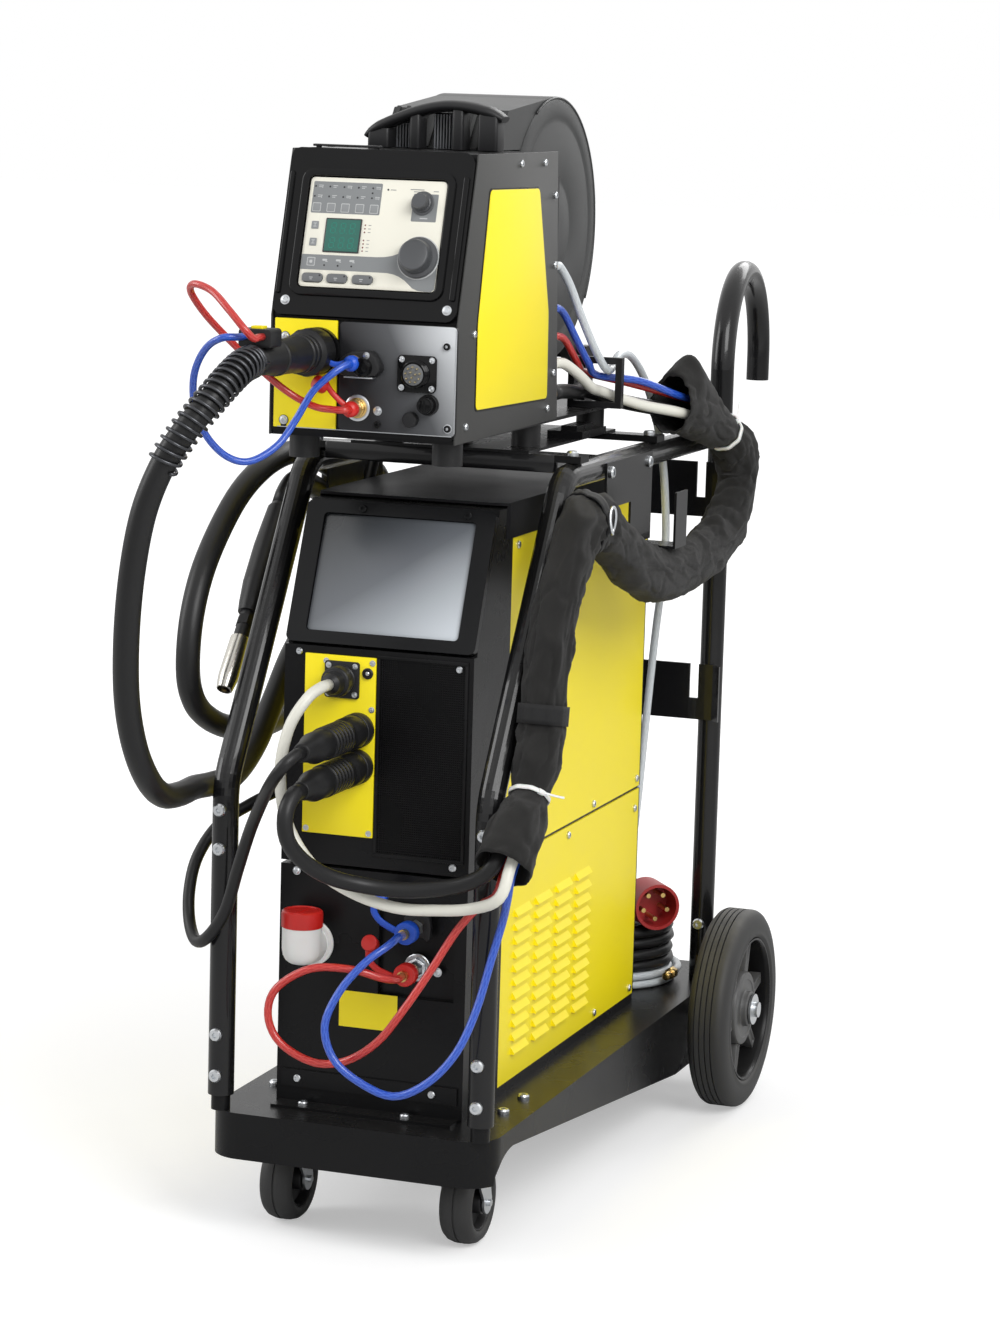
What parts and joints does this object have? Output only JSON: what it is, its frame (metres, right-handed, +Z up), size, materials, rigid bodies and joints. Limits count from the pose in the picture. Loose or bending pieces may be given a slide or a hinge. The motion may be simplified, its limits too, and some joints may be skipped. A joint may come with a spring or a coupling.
{
  "type": "mig welder on cart",
  "caption": "Water-cooled welding power source with a separate wire feeder, torch and hoses on a tube-framed cart with spoked rear wheels and swivel casters.",
  "frame": {"origin": "on the floor, midway between the wheels and midway between the feeder front couplings and the rear hook", "axes": "+Z up, -Y toward the front with the controls, +X toward the side with the hose sleeve"},
  "size_m": [0.5046, 1.4075, 1.301],
  "materials": {
    "cart_paint": "satin powder coat",
    "black_paint": "fine textured powder coat",
    "yellow_paint": "semi-gloss powder coat",
    "zinc": "zinc plated",
    "tyre_rubber": "matt rubber",
    "caster_rubber": "matt rubber",
    "black_plastic": "matt moulded",
    "module_black": "fine textured",
    "hood_grey": "satin moulded",
    "gloss_black": "gloss moulded",
    "white_plastic": "satin moulded",
    "red_plastic": "satin moulded",
    "cream_panel": "satin membrane",
    "key_grey": "satin rubber",
    "brass": "machined",
    "inner_grey": "hidden filler",
    "spool_plastic": "wound wire",
    "cord_black": "matt sheath",
    "cord_white": "satin sheath",
    "hose_blue": "satin",
    "hose_clear": "satin translucent look",
    "sleeve_fabric": "woven",
    "spring_steel": "bare wire",
    "plug_red": "satin moulded"
  },
  "bodies": {
    "cart": {"chassis": "cart_paint", "lower_posts": "cart_paint", "side_rails": "cart_paint", "feeder_platform": "black_paint", "rear_poles": "cart_paint", "hose_hangers": "cart_paint", "cart_bolts": "zinc", "axle": "zinc", "caster_heads": "zinc", "cooler_base": "black_paint", "cooler_front": "module_black", "side_panels": "yellow_paint", "power_front": "module_black", "display_hood": "hood_grey", "mesh_grille": "black_paint", "connector_plates": "yellow_paint", "power_top": "black_paint", "rear_panels": "black_paint", "case_screws": "zinc", "filler_neck": "white_plastic", "panel_sockets": "black_plastic", "coolant_couplings": "brass", "internal_units": "inner_grey", "feeder_chassis": "module_black", "feeder_sides": "yellow_paint", "front_bezel": "gloss_black", "control_panel": "cream_panel", "connector_panel": "black_plastic", "carry_handle": "black_plastic", "rear_fittings": "black_plastic", "torch_plug": "black_plastic", "torch_spring": "spring_steel", "torch_lead": "cord_black", "torch_gun": "black_plastic", "torch_nozzle": "brass", "torch_hoses": "hose_blue", "control_cable": "cord_white", "weld_cables": "cord_black", "coolant_hoses": "hose_blue", "gas_hose": "hose_clear", "gas_coil": "hose_clear", "hose_sleeve": "sleeve_fabric", "mains_lead": "cord_black", "mains_coil": "cord_black", "mains_plug": "plug_red"},
    "rear_wheel_right": {"rear_wheel_right": "tyre_rubber"},
    "rear_wheel_left": {"rear_wheel_left": "tyre_rubber"},
    "caster_fork_right": {"caster_fork_right": "zinc"},
    "caster_fork_left": {"caster_fork_left": "zinc"},
    "caster_wheel_right": {"caster_wheel_right": "caster_rubber"},
    "caster_wheel_left": {"caster_wheel_left": "caster_rubber"},
    "filler_cap": {"filler_cap": "red_plastic"},
    "encoder_knob": {"encoder_knob": "black_plastic"},
    "mode_knob": {"mode_knob": "black_plastic"},
    "soft_key_1": {"soft_key_1": "key_grey"},
    "soft_key_2": {"soft_key_2": "key_grey"},
    "soft_key_3": {"soft_key_3": "key_grey"},
    "spool_cover": {"spool_cover": "black_plastic"},
    "wire_spool": {"wire_spool": "spool_plastic"},
    "torch_trigger": {"torch_trigger": "black_plastic"}
  },
  "joints": [
    {"name": "rear_wheel_right_spin", "type": "hinge", "parent": "cart", "child": "rear_wheel_right", "pos_m": [0.2165, 0.26946, 0.129], "axis": [1, 0, 0], "continuous": true},
    {"name": "rear_wheel_left_spin", "type": "hinge", "parent": "cart", "child": "rear_wheel_left", "pos_m": [-0.2165, 0.26946, 0.129], "axis": [1, 0, 0], "continuous": true},
    {"name": "caster_right_swivel", "type": "hinge", "parent": "cart", "child": "caster_fork_right", "pos_m": [0.111, -0.47254, 0.125], "axis": [0, 0, 1], "continuous": true},
    {"name": "caster_right_spin", "type": "hinge", "parent": "caster_fork_right", "child": "caster_wheel_right", "pos_m": [0.111, -0.43654, 0.05], "axis": [1, 0, 0], "continuous": true},
    {"name": "caster_left_swivel", "type": "hinge", "parent": "cart", "child": "caster_fork_left", "pos_m": [-0.111, -0.47254, 0.125], "axis": [0, 0, 1], "continuous": true},
    {"name": "caster_left_spin", "type": "hinge", "parent": "caster_fork_left", "child": "caster_wheel_left", "pos_m": [-0.111, -0.43654, 0.05], "axis": [1, 0, 0], "continuous": true},
    {"name": "filler_cap_turn", "type": "hinge", "parent": "cart", "child": "filler_cap", "pos_m": [-0.074, -0.50254, 0.37], "axis": [0, 0, 1], "continuous": true},
    {"name": "encoder_turn", "type": "hinge", "parent": "cart", "child": "encoder_knob", "pos_m": [0.054, -0.50565, 1.18395], "axis": [0, -0.9611, 0.2761], "continuous": true},
    {"name": "mode_turn", "type": "hinge", "parent": "cart", "child": "mode_knob", "pos_m": [0.057, -0.52249, 1.12532], "axis": [0, -0.9611, 0.2761], "range_deg": [-135, 135]},
    {"name": "soft_key_1_press", "type": "slide", "parent": "cart", "child": "soft_key_1", "axis": [0, 0.9611, -0.2761], "range_m": [0, 0.001], "stiffness_N_per_m": 800},
    {"name": "soft_key_2_press", "type": "slide", "parent": "cart", "child": "soft_key_2", "axis": [0, 0.9611, -0.2761], "range_m": [0, 0.001], "stiffness_N_per_m": 800},
    {"name": "soft_key_3_press", "type": "slide", "parent": "cart", "child": "soft_key_3", "axis": [0, 0.9611, -0.2761], "range_m": [0, 0.001], "stiffness_N_per_m": 800},
    {"name": "spool_cover_hinge", "type": "hinge", "parent": "cart", "child": "spool_cover", "pos_m": [0, 0.05746, 0.985], "axis": [-1, 0, 0], "range_deg": [0, 75]},
    {"name": "wire_spool_turn", "type": "hinge", "parent": "cart", "child": "wire_spool", "pos_m": [-0.005, -0.10754, 1.146], "axis": [1, 0, 0], "continuous": true},
    {"name": "torch_trigger_pull", "type": "slide", "parent": "cart", "child": "torch_trigger", "axis": [0, -0.7682, 0.6402], "range_m": [0, 0.003], "stiffness_N_per_m": 600}
  ]
}
